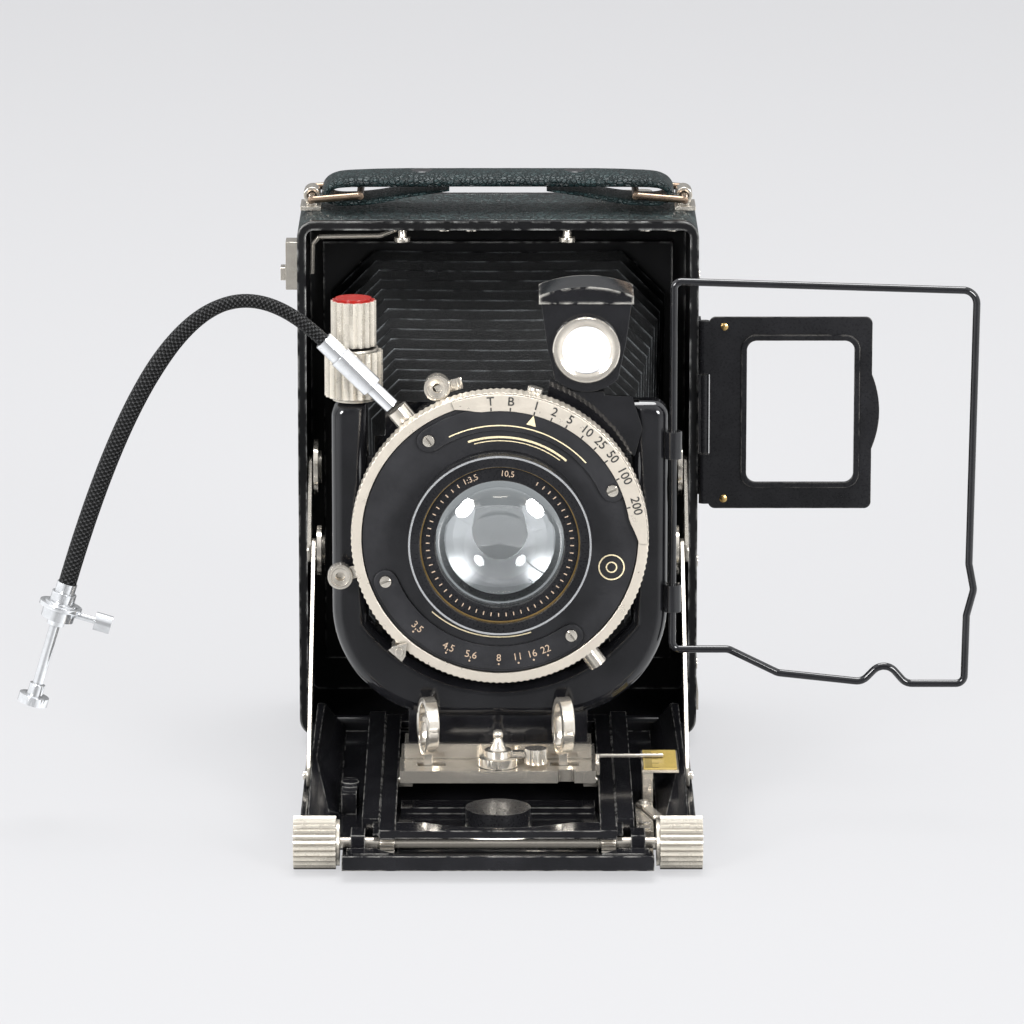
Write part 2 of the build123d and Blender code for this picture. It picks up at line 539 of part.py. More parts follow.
def make_finder():
    dx, dz = FINDER_X, FINDER_Z
    half = FINDER_HALF
    front = outline((dx - half, 111.6), (dx - 0.88 * half, 103), (dx - 0.7 * half, 95),
                    (dx + 0.7 * half, 95), (dx + 0.88 * half, 103), (dx + half, 111.6))
    front += (Pos(dx, dz) * Circle(9.6)) & (Pos(dx, dz - 10) * Rectangle(13.4, 12))
    body = plate_y(front, FINDER_FRONT, FINDER_BACK)
    body -= plate_y(offset(front, amount=-1.4), FINDER_FRONT + 1.4, FINDER_BACK - 1.6)
    body -= rod_y(5.9, -64, -60, dx, dz)
    body -= block(dx - 7.2, dx + 7.2, -61.2, -50.6, 108, 113)
    body += rod_y(7.1, -64.6, FINDER_FRONT, dx, dz) - rod_y(5.9, -66, -60, dx, dz)
    body -= rod_y(1.26, -51, -48, dx, dz)
    save("finder_body", body)
    eye = rod_y(5.85, -63.6, -62.2, dx, dz) & (Pos(dx, -51.6, dz) * Sphere(12.0))
    window = block(dx - 7.15, dx + 7.15, -61.1, -50.7, 110.3, 111.5)
    mirror_face = outline((-60.8, 96.8), (-60.2, 96.4), (-50.8, 107.2), (-51.4, 107.6))
    save("finder_lenses", eye, window, plate_x(mirror_face, dx - 4.8, dx + 4.8))
    # arched lid, closed over the window and hinged at the back
    crown = hood_outline(half + 0.5, 0)
    inside = hood_outline(half - 0.3, 0.8)
    hood = plate_y(crown, FINDER_FRONT - 0.3, HOOD_Y) - plate_y(inside, FINDER_FRONT + 0.5, HOOD_Y - 0.8)
    hood += rod_x(0.38, dx - half, dx + half, HOOD_Y, HOOD_Z)
    save("finder_hood", hood)
    apron = outline((10.0, 87), (11.2, 95), (dx, 95), (dx, 91.6), (29.0, 91), (31.2, 84), (29.6, 78))
    tab = plate_y(apron, -60.98, -60.0) - rod_y(26.3, -62, -59, LENS_X, LENS_Z) - rod_y(10.1, -62, -59, dx, dz)
    shelf = block(15.0, 23.0, -60.98, -47.4, 91.2, 92.1) + block(16.0, 22.0, -48.4, -47.4, 91.2, 104.6)
    save("finder_bracket", tab + shelf + rod_y(1.2, -50.2, -47.6, dx, dz))


def hood_outline(half, drop):
    """Front view of the lid: straight sides and an arched top, lowered by a drop."""
    low = HOOD_Z - 0.3 - drop
    arch = ThreePointArc((FINDER_X + half, 113.5 - drop), (FINDER_X, 115.5 - drop), (FINDER_X - half, 113.5 - drop))
    sides = Polyline((FINDER_X - half, 113.5 - drop), (FINDER_X - half, low), (FINDER_X + half, low),
                     (FINDER_X + half, 113.5 - drop))
    return make_face([arch, sides])


def make_wire_finder():
    points = [(WIRE_X, 60), (WIRE_X, 115.9), (103.2, 113.9), (102.3, 53.5), (103.4, 47.8), (101.9, 42.0),
              (101.6, 26.8), (88.9, 26.8), (84.2, 32.2), (79.4, 27.2), (61.0, 29.2), (50.2, 34.5), (WIRE_X, 34.5)]
    radii = [0, 1.6, 3.0, 2.0, 2.6, 2.0, 1.8, 3.0, 3.2, 3.0, 3.0, 3.0, 1.6]
    line = FilletPolyline(*[(x, WIRE_Y, z) for x, z in points], radius=radii, close=True)
    frame = sweep(Plane(origin=(WIRE_X, WIRE_Y, 60), z_dir=(0, 0, 1)) * Circle(WIRE_R), path=line)
    save("wire_finder", frame)


def make_mask():
    z0, z1 = 53.4, 97.2
    leaf = block(45.0, 45.7, 3.4, 9.4, z0 + 2, z1 - 2) + block(45.0, 45.7, -1.2, 3.6, 66, 84)
    leaf += rod_z(1.1, 66, 84, MASK_X, MASK_Y) + block(45.0, 46.3, -2.0, -0.4, 66, 84)
    leaf -= rod_z(0.55, 50, 100, MASK_X, MASK_Y)
    pin = rod_z(0.5, z0 + 1, z1 - 1, MASK_X, MASK_Y)
    heads = [rod_x(1.2, 45.7, 46.2, 6.6, z) for z in (z0 + 6, (z0 + z1) / 2, z1 - 6)]
    save("mask_hinge", leaf, pin, *heads)
    outer = Pos(65.6, (z0 + z1) / 2) * RectangleRounded(36.6, z1 - z0, 1.5)
    outer += (Pos(63.5, 75.6) * Circle(22.1)) & (Pos(83.4, 75.6) * Rectangle(5, 18))
    window = Pos(67.85, 75.65) * RectangleRounded(24.1, 32.5, 2.2)
    bead = Pos(67.85, 75.65) * RectangleRounded(26.5, 34.9, 3.2)
    mask = plate_y(outer - window, MASK_Y - 1.1, MASK_Y - 0.4)
    mask += plate_y(bead - window, MASK_Y - 1.6, MASK_Y - 0.4)
    for a, b in ((z0 + 1, 65.8), (84.2, z1 - 1)):
        mask += rod_z(1.1, a, b, MASK_X, MASK_Y) + block(MASK_X, 48.5, MASK_Y - 1.1, MASK_Y - 0.4, a, b)
    mask -= block(44, 47.5, -4, 2, 65.9, 84.1)
    mask -= rod_z(0.56, 50, 100, MASK_X, MASK_Y)
    save("side_mask", mask)


def make_bellows():
    outer_faces = []
    inner_faces = []
    count = 2 * FOLDS
    for i in range(count + 1):
        t = i / count
        y = BELLOWS_BACK - 0.02 + (BELLOWS_FRONT - BELLOWS_BACK + 0.04) * t
        dip = FOLD_DEPTH if i % 2 == 0 else 0.0
        half_w = 38.5 + (27.6 - 38.5) * t - dip
        half_h = 48.0 + (27.6 - 48.0) * t - dip
        cut = 10.4 + (6.5 - 10.4) * t
        centre = 59.0 + (LENS_Z - 59.0) * t
        outer_faces.append(octagon(half_w, half_h, cut, centre, y))
        inner_faces.append(octagon(half_w - 0.8, half_h - 0.8, cut, centre, y))
    save("bellows", loft(outer_faces, ruled=True) - loft(inner_faces, ruled=True))
    frame = plate_y(Pos(0, 59) * Rectangle(80, 98), BELLOWS_BACK, CASE_D - 2)
    frame -= plate_y(Pos(0, 59) * Rectangle(63, 88), 30, 40)
    save("bellows_frame", frame)


def octagon(half_w, half_h, cut, centre, y):
    """A rectangle with its corners cut off, drawn across the lens axis."""
    short_w, short_h = half_w - cut, half_h - cut
    points = [(half_w, short_h), (short_w, half_h), (-short_w, half_h), (-half_w, short_h),
              (-half_w, -short_h), (-short_w, -half_h), (short_w, -half_h), (half_w, -short_h)]
    return make_face(Polyline(*[(LENS_X + x, y, centre + z) for x, z in points], close=True))


def make_strap():
    """Padded strap whose ends pass round the links and return underneath as tongues."""
    front, back = STRAP_Y - 7, STRAP_Y + 7
    loop = Pos(0, 123.25) * RectangleRounded(78.4, 6.7, 3.2)
    loop -= Pos(0, 122.55) * RectangleRounded(73.0, 2.1, 1.0)
    loop -= Pos(0, 121.3) * Rectangle(28.0, 4.6)
    links = []
    lugs = []
    for side in (-1, 1):
        inner = (side * 31.0, 122.55)
        outer = (side * 42.0, 121.6)
        link = rod_y(0.8, front - 2.4, back + 2.4, *inner) + rod_y(0.8, front - 2.4, back + 2.4, *outer)
        for y in (front - 1.7, back + 1.7):
            link += bar_between((inner[0], y, inner[1]), (outer[0], y, outer[1]), 0.8)
        links.append(link)
        base = block(*sorted((side * 39.9, side * 44.6)), STRAP_Y - 5, STRAP_Y + 5, CASE_H, CASE_H + 0.9)
        eye = rod_y(1.9, STRAP_Y - 3, STRAP_Y + 3, *outer)
        eye += block(outer[0] - 1.2, outer[0] + 1.2, STRAP_Y - 3, STRAP_Y + 3, CASE_H, 121)
        lugs.append(base + eye - rod_y(1.0, STRAP_Y - 4, STRAP_Y + 4, *outer))
    save("handle_strap", plate_y(loop, front, back))
    save("strap_links", *links)
    save("strap_lugs", *lugs)
    rivets = [rod_z(3.0, 126.6, 127.1, x, STRAP_Y) for x in (-17.3, 17.3)]
    save("strap_rivets", *rivets)


def bar_between(start, end, radius):
    length = math.dist(start, end)
    direction = tuple((b - a) / length for a, b in zip(start, end))
    return Plane(origin=start, z_dir=direction) * Cylinder(radius, length, align=(Align.CENTER, Align.CENTER, Align.MIN))


def make_case_fittings():
    top = CASE_H - 2.0
    screws = [rod_z(1.5, top - 0.6, top, x, 3.4) for x in (-12, -6, 33, 39)]
    studs = [rod_z(1.0, top - 2.7, top, x, 6.0) + rod_z(1.8, top - 3.6, top - 2.6, x, 6.0) for x in (-21.5, 15.5)]
    side = [rod_x(1.3, 45.0, 45.5, 12, z) for z in (14, 38, 104)]
    edge = block(45.0, 45.6, 4, 22, 5, 9)
    save("case_screws", *screws, *studs, *side, edge)
    path = Polyline((-23.0, 6, 115.6), (-26.5, 6, 114.2), (-40.2, 6, 114.0), (-41.6, 6, 112.4), (-41.8, 6, 105.6))
    wire = sweep(Plane(origin=path @ 0, z_dir=path % 0) * Circle(0.55), path=path, transition=Transition.ROUND)
    save("latch_spring", wire)
    catch = block(-48.2, -45.05, 21, 27, 99, 110) + block(-49.4, -48.1, 22, 26, 101, 104)
    save("bed_catch", catch)


def make_back():
    rail = block(39.6, 44.0, CASE_D, 43.2, 2.4, 116) - block(39.0, 42.1, 39.0, 41.3, 4.9, 120)
    save("back_rails", *mirrored(rail))
    back = block(-39.4, 39.4, 38.2, 45.0, 5.0, 116.0) + block(-41.9, 41.9, 39.1, 41.2, 5.0, 116.0)
    back -= block(-31.5, 31.5, 37, 46, 14.5, 103.5)
    back -= block(-34.2, 34.2, 40.0, 46, 12.0, 106.0)
    save("focusing_back", back)
    save("ground_glass", block(-34.0, 34.0, 40.05, 41.6, 12.2, 105.8))
    cover = block(-36.6, 36.6, 45.1, 46.4, 9.6, 110)
    cover += rod_x(0.9, -34, 34, 46.1, 8.6) + block(-34, 34, 45.6, 46.4, 8.6, 9.8)
    save("back_cover", cover)
    catch = rod_z(2.2, CASE_H + 0.05, CASE_H + 1.2, 33, 33.6) + block(19.5, 33, 32.4, 34.8, CASE_H + 0.05, CASE_H + 1.2)
    save("back_catch", catch)


def main():
    os.makedirs("parts", exist_ok=True)
    make_case()
    make_bed()
    make_struts()
    make_track_guides()
    make_track()
    make_bed_plates()
    make_carriage()
    make_grips()
    make_shift_lock()
    make_standard()
    make_top_knobs()
    make_lens_board()
    make_shutter()
    make_levers()
    make_lens()
    make_fittings()
    make_cable()
    make_finder()
    make_wire_finder()
    make_mask()
    make_bellows()
    make_strap()
    make_case_fittings()
    make_back()


main()
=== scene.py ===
import math
import random

import bmesh
import bpy
from mathutils import Matrix, Vector


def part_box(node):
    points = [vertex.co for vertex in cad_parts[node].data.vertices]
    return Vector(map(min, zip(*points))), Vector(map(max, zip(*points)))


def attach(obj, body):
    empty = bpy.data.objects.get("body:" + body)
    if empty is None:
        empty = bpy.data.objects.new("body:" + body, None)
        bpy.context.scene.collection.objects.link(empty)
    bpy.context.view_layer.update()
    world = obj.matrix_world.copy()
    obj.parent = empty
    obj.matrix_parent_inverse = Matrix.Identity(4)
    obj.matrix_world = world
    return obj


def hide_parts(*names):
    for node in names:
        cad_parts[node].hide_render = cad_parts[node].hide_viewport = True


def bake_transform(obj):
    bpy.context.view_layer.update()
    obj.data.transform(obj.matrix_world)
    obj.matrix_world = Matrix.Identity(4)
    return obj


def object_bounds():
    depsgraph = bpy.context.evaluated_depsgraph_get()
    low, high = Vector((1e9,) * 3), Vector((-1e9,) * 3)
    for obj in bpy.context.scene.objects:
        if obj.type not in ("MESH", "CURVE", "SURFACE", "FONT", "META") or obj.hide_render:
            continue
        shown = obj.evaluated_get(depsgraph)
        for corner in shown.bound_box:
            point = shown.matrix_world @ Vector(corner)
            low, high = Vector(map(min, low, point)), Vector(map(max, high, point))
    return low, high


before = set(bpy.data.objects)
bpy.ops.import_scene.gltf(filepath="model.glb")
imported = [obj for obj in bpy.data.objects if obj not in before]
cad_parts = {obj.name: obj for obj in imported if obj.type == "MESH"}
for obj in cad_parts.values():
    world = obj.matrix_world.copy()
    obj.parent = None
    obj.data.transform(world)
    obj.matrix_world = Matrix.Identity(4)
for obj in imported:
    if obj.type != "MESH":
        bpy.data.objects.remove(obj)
CAD_BOX = [list(corner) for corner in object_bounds()]

# Lengths below are millimetres in the case frame: X to the right, Y towards the back from the case's
# front face, Z up from the underside of the bed. at() turns them into the frame's metres.
MM = 0.001
CASE_FRONT = 85.0
LENS = (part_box("speed_ring")[0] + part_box("speed_ring")[1]) / (2 * MM)
LENS_X, LENS_Z = LENS.x, LENS.z


def at(x, y, z):
    """A case-frame point in millimetres as a point of the shared frame in metres."""
    return Vector((x, y + CASE_FRONT, z)) * MM


def cad_box(node):
    """Lowest and highest corner of a CAD node, in case-frame millimetres."""
    low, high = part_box(node)
    shift = Vector((0, CASE_FRONT, 0))
    return low / MM - shift, high / MM - shift


# ---------------------------------------------------------------- materials

class Shader:
    """A material with short calls for adding and joining nodes."""

    def __init__(self, name):
        self.material = bpy.data.materials.new(name)
        self.material.use_nodes = True
        self.tree = self.material.node_tree
        self.surface = self.tree.nodes["Principled BSDF"]
        self.coordinates = self.tree.nodes.new("ShaderNodeTexCoord")

    def add(self, kind, inputs=None, **settings):
        node = self.tree.nodes.new("ShaderNode" + kind)
        for key, value in settings.items():
            setattr(node, key, value)
        for key, value in (inputs or {}).items():
            self.put(node.inputs[key], value)
        return node

    def put(self, socket, value):
        if isinstance(value, bpy.types.NodeSocket):
            self.tree.links.new(value, socket)
        else:
            socket.default_value = value

    def noise(self, size_mm, detail=3.0, vector=None, rough=0.55):
        where = vector or self.coordinates.outputs["Object"]
        inputs = {"Vector": where, "Scale": 1 / (size_mm * MM), "Detail": detail, "Roughness": rough}
        return self.add("TexNoise", inputs).outputs["Fac"]

    def cells(self, size_mm, feature="F1", vector=None):
        where = vector or self.coordinates.outputs["Object"]
        node = self.add("TexVoronoi", {"Vector": where, "Scale": 1 / (size_mm * MM)}, feature=feature)
        return node.outputs["Distance"]

    def ramp(self, value, low, high, start=0.0, end=1.0):
        inputs = {"Value": value, "From Min": low, "From Max": high, "To Min": start, "To Max": end}
        return self.add("MapRange", inputs).outputs["Result"]

    def maths(self, operation, a, b=0.5):
        return self.add("Math", {0: a, 1: b}, operation=operation).outputs[0]

    def mix(self, share, a, b):
        node = self.add("Mix", {0: share, 6: a, 7: b}, data_type="RGBA")
        return node.outputs[2]

    def bump(self, height, depth_mm, strength=1.0, under=None):
        inputs = {"Height": height, "Distance": depth_mm * MM, "Strength": strength}
        if under is not None:
            inputs["Normal"] = under
        return self.add("Bump", inputs).outputs["Normal"]

    def worn(self, radius_mm, low=0.02, high=0.2, patch_mm=3.0):
        """1 on sharp outside edges broken up by patches, 0 elsewhere."""
        soft = self.add("Bevel", {"Radius": radius_mm * MM}, samples=4).outputs["Normal"]
        plain = self.add("NewGeometry").outputs["Normal"]
        alike = self.add("VectorMath", {0: soft, 1: plain}, operation="DOT_PRODUCT").outputs["Value"]
        edge = self.ramp(self.maths("SUBTRACT", 1.0, alike), low, high)
        patch = self.ramp(self.noise(patch_mm, 6.0), 0.42, 0.6)
        return self.maths("MULTIPLY", edge, patch)

    def corner_shade(self, reach_mm, low):
        """1 in the open, 0 deep in a corner: the mask that places painted shade."""
        node = self.add("AmbientOcclusion", {"Distance": reach_mm * MM}, samples=6)
        return self.ramp(node.outputs["AO"], low, 0.92)

    def finish(self, **values):
        for key, value in values.items():
            self.put(self.surface.inputs[key.replace("_", " ")], value)
        return self.material


def rgb(r, g, b):
    return (r, g, b, 1.0)


def brighter(colour, factor, lift=0.0):
    """The colour scaled and lifted, kept within 1."""
    return tuple(min(1.0, factor * c + lift) for c in colour[:3]) + (1.0,)


def enamel(name, colour, rough, coat, edge_mm=0.25, wear_colour=rgb(0.42, 0.40, 0.36), wear=1.0, spec=0.25):
    """Stoved black paint with fine dust, faint ripple and edges rubbed to metal."""
    ripple_mm = 0.02
    s = Shader(name)
    worn = s.maths("MULTIPLY", s.worn(edge_mm), wear)
    dust = s.ramp(s.noise(0.5, 5.0), 0.35, 0.75)
    tone = s.mix(s.ramp(s.noise(9.0, 4.0), 0.3, 0.7), colour, brighter(colour, 1.6, 0.002))
    roughness = s.maths("ADD", s.ramp(dust, 0, 1, rough * 0.8, rough * 1.35), s.maths("MULTIPLY", worn, 0.15))
    return s.finish(
        Base_Color=s.mix(worn, tone, wear_colour), Metallic=s.maths("MULTIPLY", worn, 0.6),
        Roughness=roughness, Specular_IOR_Level=spec,
        Coat_Weight=s.maths("MULTIPLY", s.maths("SUBTRACT", 1.0, worn), coat), Coat_Roughness=0.06,
        Normal=s.bump(s.noise(2.2, 2.0), ripple_mm, 0.5))


def plated(name, colour, rough, scratch=0.35, shade_depth=0.75, metal=1.0, reach=0.6, low=0.4):
    """Plated metal: fine scratches, cloudy roughness, painted shade in corners and grooves, which are also
    rougher.
    """
    s = Shader(name)
    where = s.coordinates.outputs["Object"]
    stretched = s.add("Mapping", {"Vector": where, "Scale": (0.15, 1.0, 1.0)}).outputs[0]
    lines = s.noise(0.12, 4.0, stretched)
    cloud = s.noise(2.5, 5.0)
    unshaded = s.corner_shade(reach, low)
    tone = s.mix(s.ramp(cloud, 0.3, 0.7), colour, brighter(colour, 0.86))
    haze = s.ramp(cloud, 0.3, 0.7, rough * 0.75, rough * 1.3)
    roughness = s.maths("ADD", haze, s.ramp(unshaded, 0, 1, 0.25, 0.0))
    # Painted shade: the colour is darkened in corners and grooves, and these are made rougher.
    shaded_tone = brighter(colour, 1 - shade_depth)
    return s.finish(Base_Color=s.mix(unshaded, shaded_tone, tone), Metallic=metal, Roughness=roughness,
                    Normal=s.bump(lines, 0.01, scratch))


def hide(name, colour, light, grain_mm, depth_mm, rough, edge_mm=0.6, edge=None, crease_shade=0.55, spec=0.35):
    """Grained leather: cells between creases, with painted shade in the creases, uneven dye and lighter
    rubbed edges; an edge colour, when given, is a painted highlight on the edges.
    """
    s = Shader(name)
    where = s.coordinates.outputs["Object"]
    wobble = s.add("TexNoise", {"Vector": where, "Scale": 600.0}).outputs["Color"]
    shift = s.add("VectorMath", {0: wobble, 1: (0.6 * MM,) * 3}, operation="MULTIPLY").outputs[0]
    bent = s.add("VectorMath", {0: where, 1: shift}, operation="ADD").outputs[0]
    creases = s.ramp(s.cells(grain_mm, "DISTANCE_TO_EDGE", bent), 0.0, 0.16)
    fine = s.noise(grain_mm * 0.35, 4.0)
    height = s.maths("ADD", creases, s.maths("MULTIPLY", fine, 0.5))
    # Outer edges: rubbed lighter on the leather, and a painted highlight where an edge colour is given.
    worn = s.worn(edge_mm, 0.01, 0.25, 4.0)
    patches = s.ramp(s.noise(14.0, 5.0), 0.35, 0.7, 0.2, 0.8)
    specks = s.ramp(s.noise(grain_mm * 1.3, 2.0), 0.45, 0.62, 0.25, 1.3)
    tone = s.mix(s.maths("MULTIPLY", patches, specks), colour, light)
    # Painted shade: the colour is darkened in the grain's creases.
    tone = s.mix(s.ramp(creases, 0.0, 1.0, crease_shade, 0.0), tone, rgb(0.002, 0.003, 0.003))
    edge_rub_and_highlight = edge or brighter(light, 3.2, 0.03)
    roughness = s.ramp(fine, 0.2, 0.8, rough - 0.1, rough + 0.12)
    return s.finish(Base_Color=s.mix(worn, tone, edge_rub_and_highlight), Roughness=roughness, Specular_IOR_Level=spec,
                    Normal=s.bump(height, depth_mm, 0.9))


def lens_glass(name):
    """Clear glass with a painted reflection: a pale glow that fades towards the bottom."""
    s = Shader(name)
    height = s.add("SeparateXYZ", {"Vector": s.coordinates.outputs["Object"]}).outputs["Z"]
    # Painted reflection: light given off by the glass, pale at the top and fading towards the bottom.
    painted_reflection = s.ramp(height, (LENS_Z - 10) * MM, (LENS_Z + 10) * MM, 0.0, 0.13)
    smudge = s.ramp(s.noise(7.0, 3.0), 0.3, 0.9, 0.0, 0.02)
    return s.finish(Base_Color=rgb(0.97, 0.98, 0.98), Transmission_Weight=1.0, IOR=1.85, Roughness=smudge,
                    Emission_Color=rgb(0.78, 0.84, 0.87), Emission_Strength=painted_reflection)


def finder_eye(name):
    """Small lens with a painted reflection: it glows with the bright image of the sky above."""
    s = Shader(name)
    # Painted reflection of the sky: the lens gives off light, a little unevenly.
    cloud = s.ramp(s.noise(5.0, 2.0), 0.3, 0.8, 0.55, 0.75)
    return s.finish(Base_Color=rgb(0.85, 0.86, 0.86), Roughness=0.05, Coat_Weight=1.0, Coat_Roughness=0.02,
                    Emission_Color=rgb(0.95, 0.97, 1.0), Emission_Strength=cloud)


def frosted(name, tint):
    """Ground glass: milky, with a fine matt grain."""
    s = Shader(name)
    roughness = s.ramp(s.noise(0.2, 2.0), 0.3, 0.7, 0.5, 0.7)
    return s.finish(Base_Color=tint, Transmission_Weight=0.7, Roughness=roughness,
                    Normal=s.bump(s.noise(0.15, 2.0), 0.02, 0.5))


def ink(name, colour, rough=0.5):
    """Paint of a figure or a line, a little uneven."""
    s = Shader(name)
    tone = s.mix(s.ramp(s.noise(0.4, 3.0), 0.35, 0.65), colour, brighter(colour, 0.75))
    return s.finish(Base_Color=tone, Roughness=rough)


def braid(name):
    """Woven black cotton sleeve; u runs along the cable and v round it."""
    s = Shader(name)
    uv = s.coordinates.outputs["UV"]
    waves = []
    for turn in (1, -1):
        lean = s.add("Mapping", {"Vector": uv, "Rotation": (0, 0, turn * math.radians(45))}).outputs[0]
        thread = {"Vector": lean, "Scale": 0.85, "Distortion": 0.3, "Detail": 1.0}
        waves.append(s.add("TexWave", thread).outputs["Fac"])
    weave = s.maths("MAXIMUM", waves[0], waves[1])
    valley = s.maths("MULTIPLY", waves[0], waves[1])
    height = s.maths("ADD", weave, valley)
    tone = s.mix(s.ramp(height, 0.9, 1.7), rgb(0.001, 0.001, 0.001), rgb(0.045, 0.045, 0.046))
    return s.finish(Base_Color=tone, Roughness=0.5, Specular_IOR_Level=0.2, Normal=s.bump(height, 0.3, 1.0))


BLACK = rgb(0.005, 0.005, 0.006)
GLOSS = enamel("gloss_enamel", BLACK, 0.07, 0.6, 0.2, wear=0.15, spec=0.3)
BED = enamel("bed_enamel", BLACK, 0.13, 0.2, 0.45, rgb(0.62, 0.60, 0.56), wear=0.8)
SATIN = enamel("satin_black", rgb(0.006, 0.006, 0.007), 0.3, 0.0, 0.3, rgb(0.35, 0.33, 0.30), wear=0.5)
FACE = enamel("face_black", rgb(0.012, 0.012, 0.0135), 0.42, 0.0, 0.2, rgb(0.35, 0.33, 0.30), wear=0.3)
INSIDE = enamel("case_inside", rgb(0.002, 0.002, 0.0025), 0.35, 0.0, 0.9, rgb(0.55, 0.55, 0.53), wear=0.7)
HOOD = enamel("finder_hood_black", BLACK, 0.1, 0.3, 1.1, rgb(0.82, 0.79, 0.72))
NICKEL = plated("nickel", rgb(0.84, 0.78, 0.69), 0.17, 0.3, 0.8, 0.85)
SATIN_NICKEL = plated("satin_nickel", rgb(0.78, 0.71, 0.61), 0.34, 0.6, 0.9, 0.7, 0.8)
FLUTED = plated("fluted_nickel", rgb(0.80, 0.74, 0.64), 0.28, 0.5, 0.93, 0.75, 1.6, 0.66)
DULL = plated("dull_nickel", rgb(0.46, 0.43, 0.38), 0.26, 0.5, 0.8, 0.85)
CHROME = plated("chrome", rgb(0.86, 0.87, 0.89), 0.1, 0.1, 0.6, 0.85)
BRASS = plated("brass", rgb(0.62, 0.42, 0.17), 0.3, 0.6)
AGED = plated("aged_link", rgb(0.30, 0.22, 0.16), 0.3, 0.6)
STEEL = plated("blued_steel", rgb(0.30, 0.31, 0.32), 0.35, 0.5, 0.3)
DARK_GREEN = rgb(0.004, 0.010, 0.011)
LEATHER = hide("green_leather", DARK_GREEN, rgb(0.050, 0.078, 0.077), 1.5, 0.6, 0.36, crease_shade=0.95)
STRAP = hide("strap_leather", DARK_GREEN, rgb(0.016, 0.032, 0.033), 1.1, 0.4, 0.34, 0.9, spec=0.3)
# The bellows' edge colour is a painted highlight along the fold ridges, not wear.
PLEAT = hide("bellows_leather", rgb(0.002, 0.002, 0.0022), rgb(0.006, 0.006, 0.0065), 0.5, 0.06, 0.5, 0.7,
             rgb(0.26, 0.28, 0.29), spec=0.15)
GLASS = lens_glass("lens_glass")
EYE = finder_eye("finder_eye")
FROST = frosted("ground_glass", rgb(0.80, 0.84, 0.82))
CREAM = ink("cream_paint", rgb(0.74, 0.63, 0.40))
FADED = ink("faded_figures", rgb(0.42, 0.31, 0.22))
ENGRAVING = ink("black_engraving", rgb(0.01, 0.01, 0.01))
RED = ink("red_enamel", rgb(0.33, 0.012, 0.008), 0.2)
IVORY = ink("scale_ivory", rgb(0.52, 0.38, 0.11), 0.3)
BRAID = braid("braided_cotton")


# ---------------------------------------------------------------- mesh helpers

def place(name, mesh, material, body, smooth_deg=35.0):
    """Puts a mesh in the scene and lets it ride on a body, if one is named."""
    obj = bpy.data.objects.new(name, mesh)
    bpy.context.scene.collection.objects.link(obj)
    mesh.materials.append(material)
    soften(obj, smooth_deg)
    if body:
        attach(obj, body)
    return obj


def soften(obj, angle_deg):
    """Smooth shading that keeps edges sharper than the angle."""
    mesh = obj.data
    mesh.polygons.foreach_set("use_smooth", [True] * len(mesh.polygons))
    mesh.set_sharp_from_angle(angle=math.radians(angle_deg))
    mesh.update()


def from_points(name, points, faces, material, body, smooth_deg=35.0):
    """Makes a piece of points and faces, with its normals facing outwards."""
    mesh = bpy.data.meshes.new(name)
    mesh.from_pydata([tuple(p) for p in points], [], faces)
    mesh.validate()
    tidy = bmesh.new()
    tidy.from_mesh(mesh)
    bmesh.ops.recalc_face_normals(tidy, faces=tidy.faces)
    tidy.to_mesh(mesh)
    tidy.free()
    return place(name, mesh, material, body, smooth_deg)


def ring_faces(rings, count, closed_ends=True, loop=False):
    """Quads between neighbouring rings of count points, with flat ends unless they join in a loop."""
    faces = []
    for i in range(rings if loop else rings - 1):
        a, b = i * count, ((i + 1) % rings) * count
        for k in range(count):
            n = (k + 1) % count
            faces.append((a + k, a + n, b + n, b + k))
    if closed_ends and not loop:
        faces.append(tuple(range(count)))
        faces.append(tuple(reversed(range((rings - 1) * count, rings * count))))
    return faces


def tube(name, path, radius, material, body, sides=16, loop=False, uv_step=None):
    """A round rod along points in metres. radius is millimetres, or a function of the share of the length."""
    points = []
    count = len(path)
    side = None
    for i, p in enumerate(path):
        before = path[i - 1] if (i or loop) else p
        after = path[(i + 1) % count] if (i < count - 1 or loop) else p
        forward = (after - before).normalized()
        if side is None:
            side = forward.orthogonal().normalized()
        side = (side - forward * side.dot(forward)).normalized()
        across = forward.cross(side)
        r = (radius(i / (count - 1)) if callable(radius) else radius) * MM
        for k in range(sides):
            a = 2 * math.pi * k / sides
            points.append(p + (side * math.cos(a) + across * math.sin(a)) * r)
    obj = from_points(name, points, ring_faces(count, sides, True, loop), material, body, 50)
    if uv_step:
        add_tube_uv(obj.data, path, sides, uv_step)
    return obj


def add_tube_uv(mesh, path, sides, step):
    """u in steps of millimetres along the tube, v from 0 to 4 round it."""
    run = [0.0]
    for a, b in zip(path, path[1:]):
        run.append(run[-1] + (b - a).length / MM / step)
    layer = mesh.uv_layers.new(name="along")
    for polygon in mesh.polygons:
        columns = [v % sides for v in polygon.vertices]
        wraps = 0 in columns and sides - 1 in columns
        for loop_index, v in zip(polygon.loop_indices, polygon.vertices):
            column = v % sides
            if wraps and column == 0:
                column = sides
            layer.data[loop_index].uv = (run[min(v // sides, len(run) - 1)], 4.0 * column / sides)


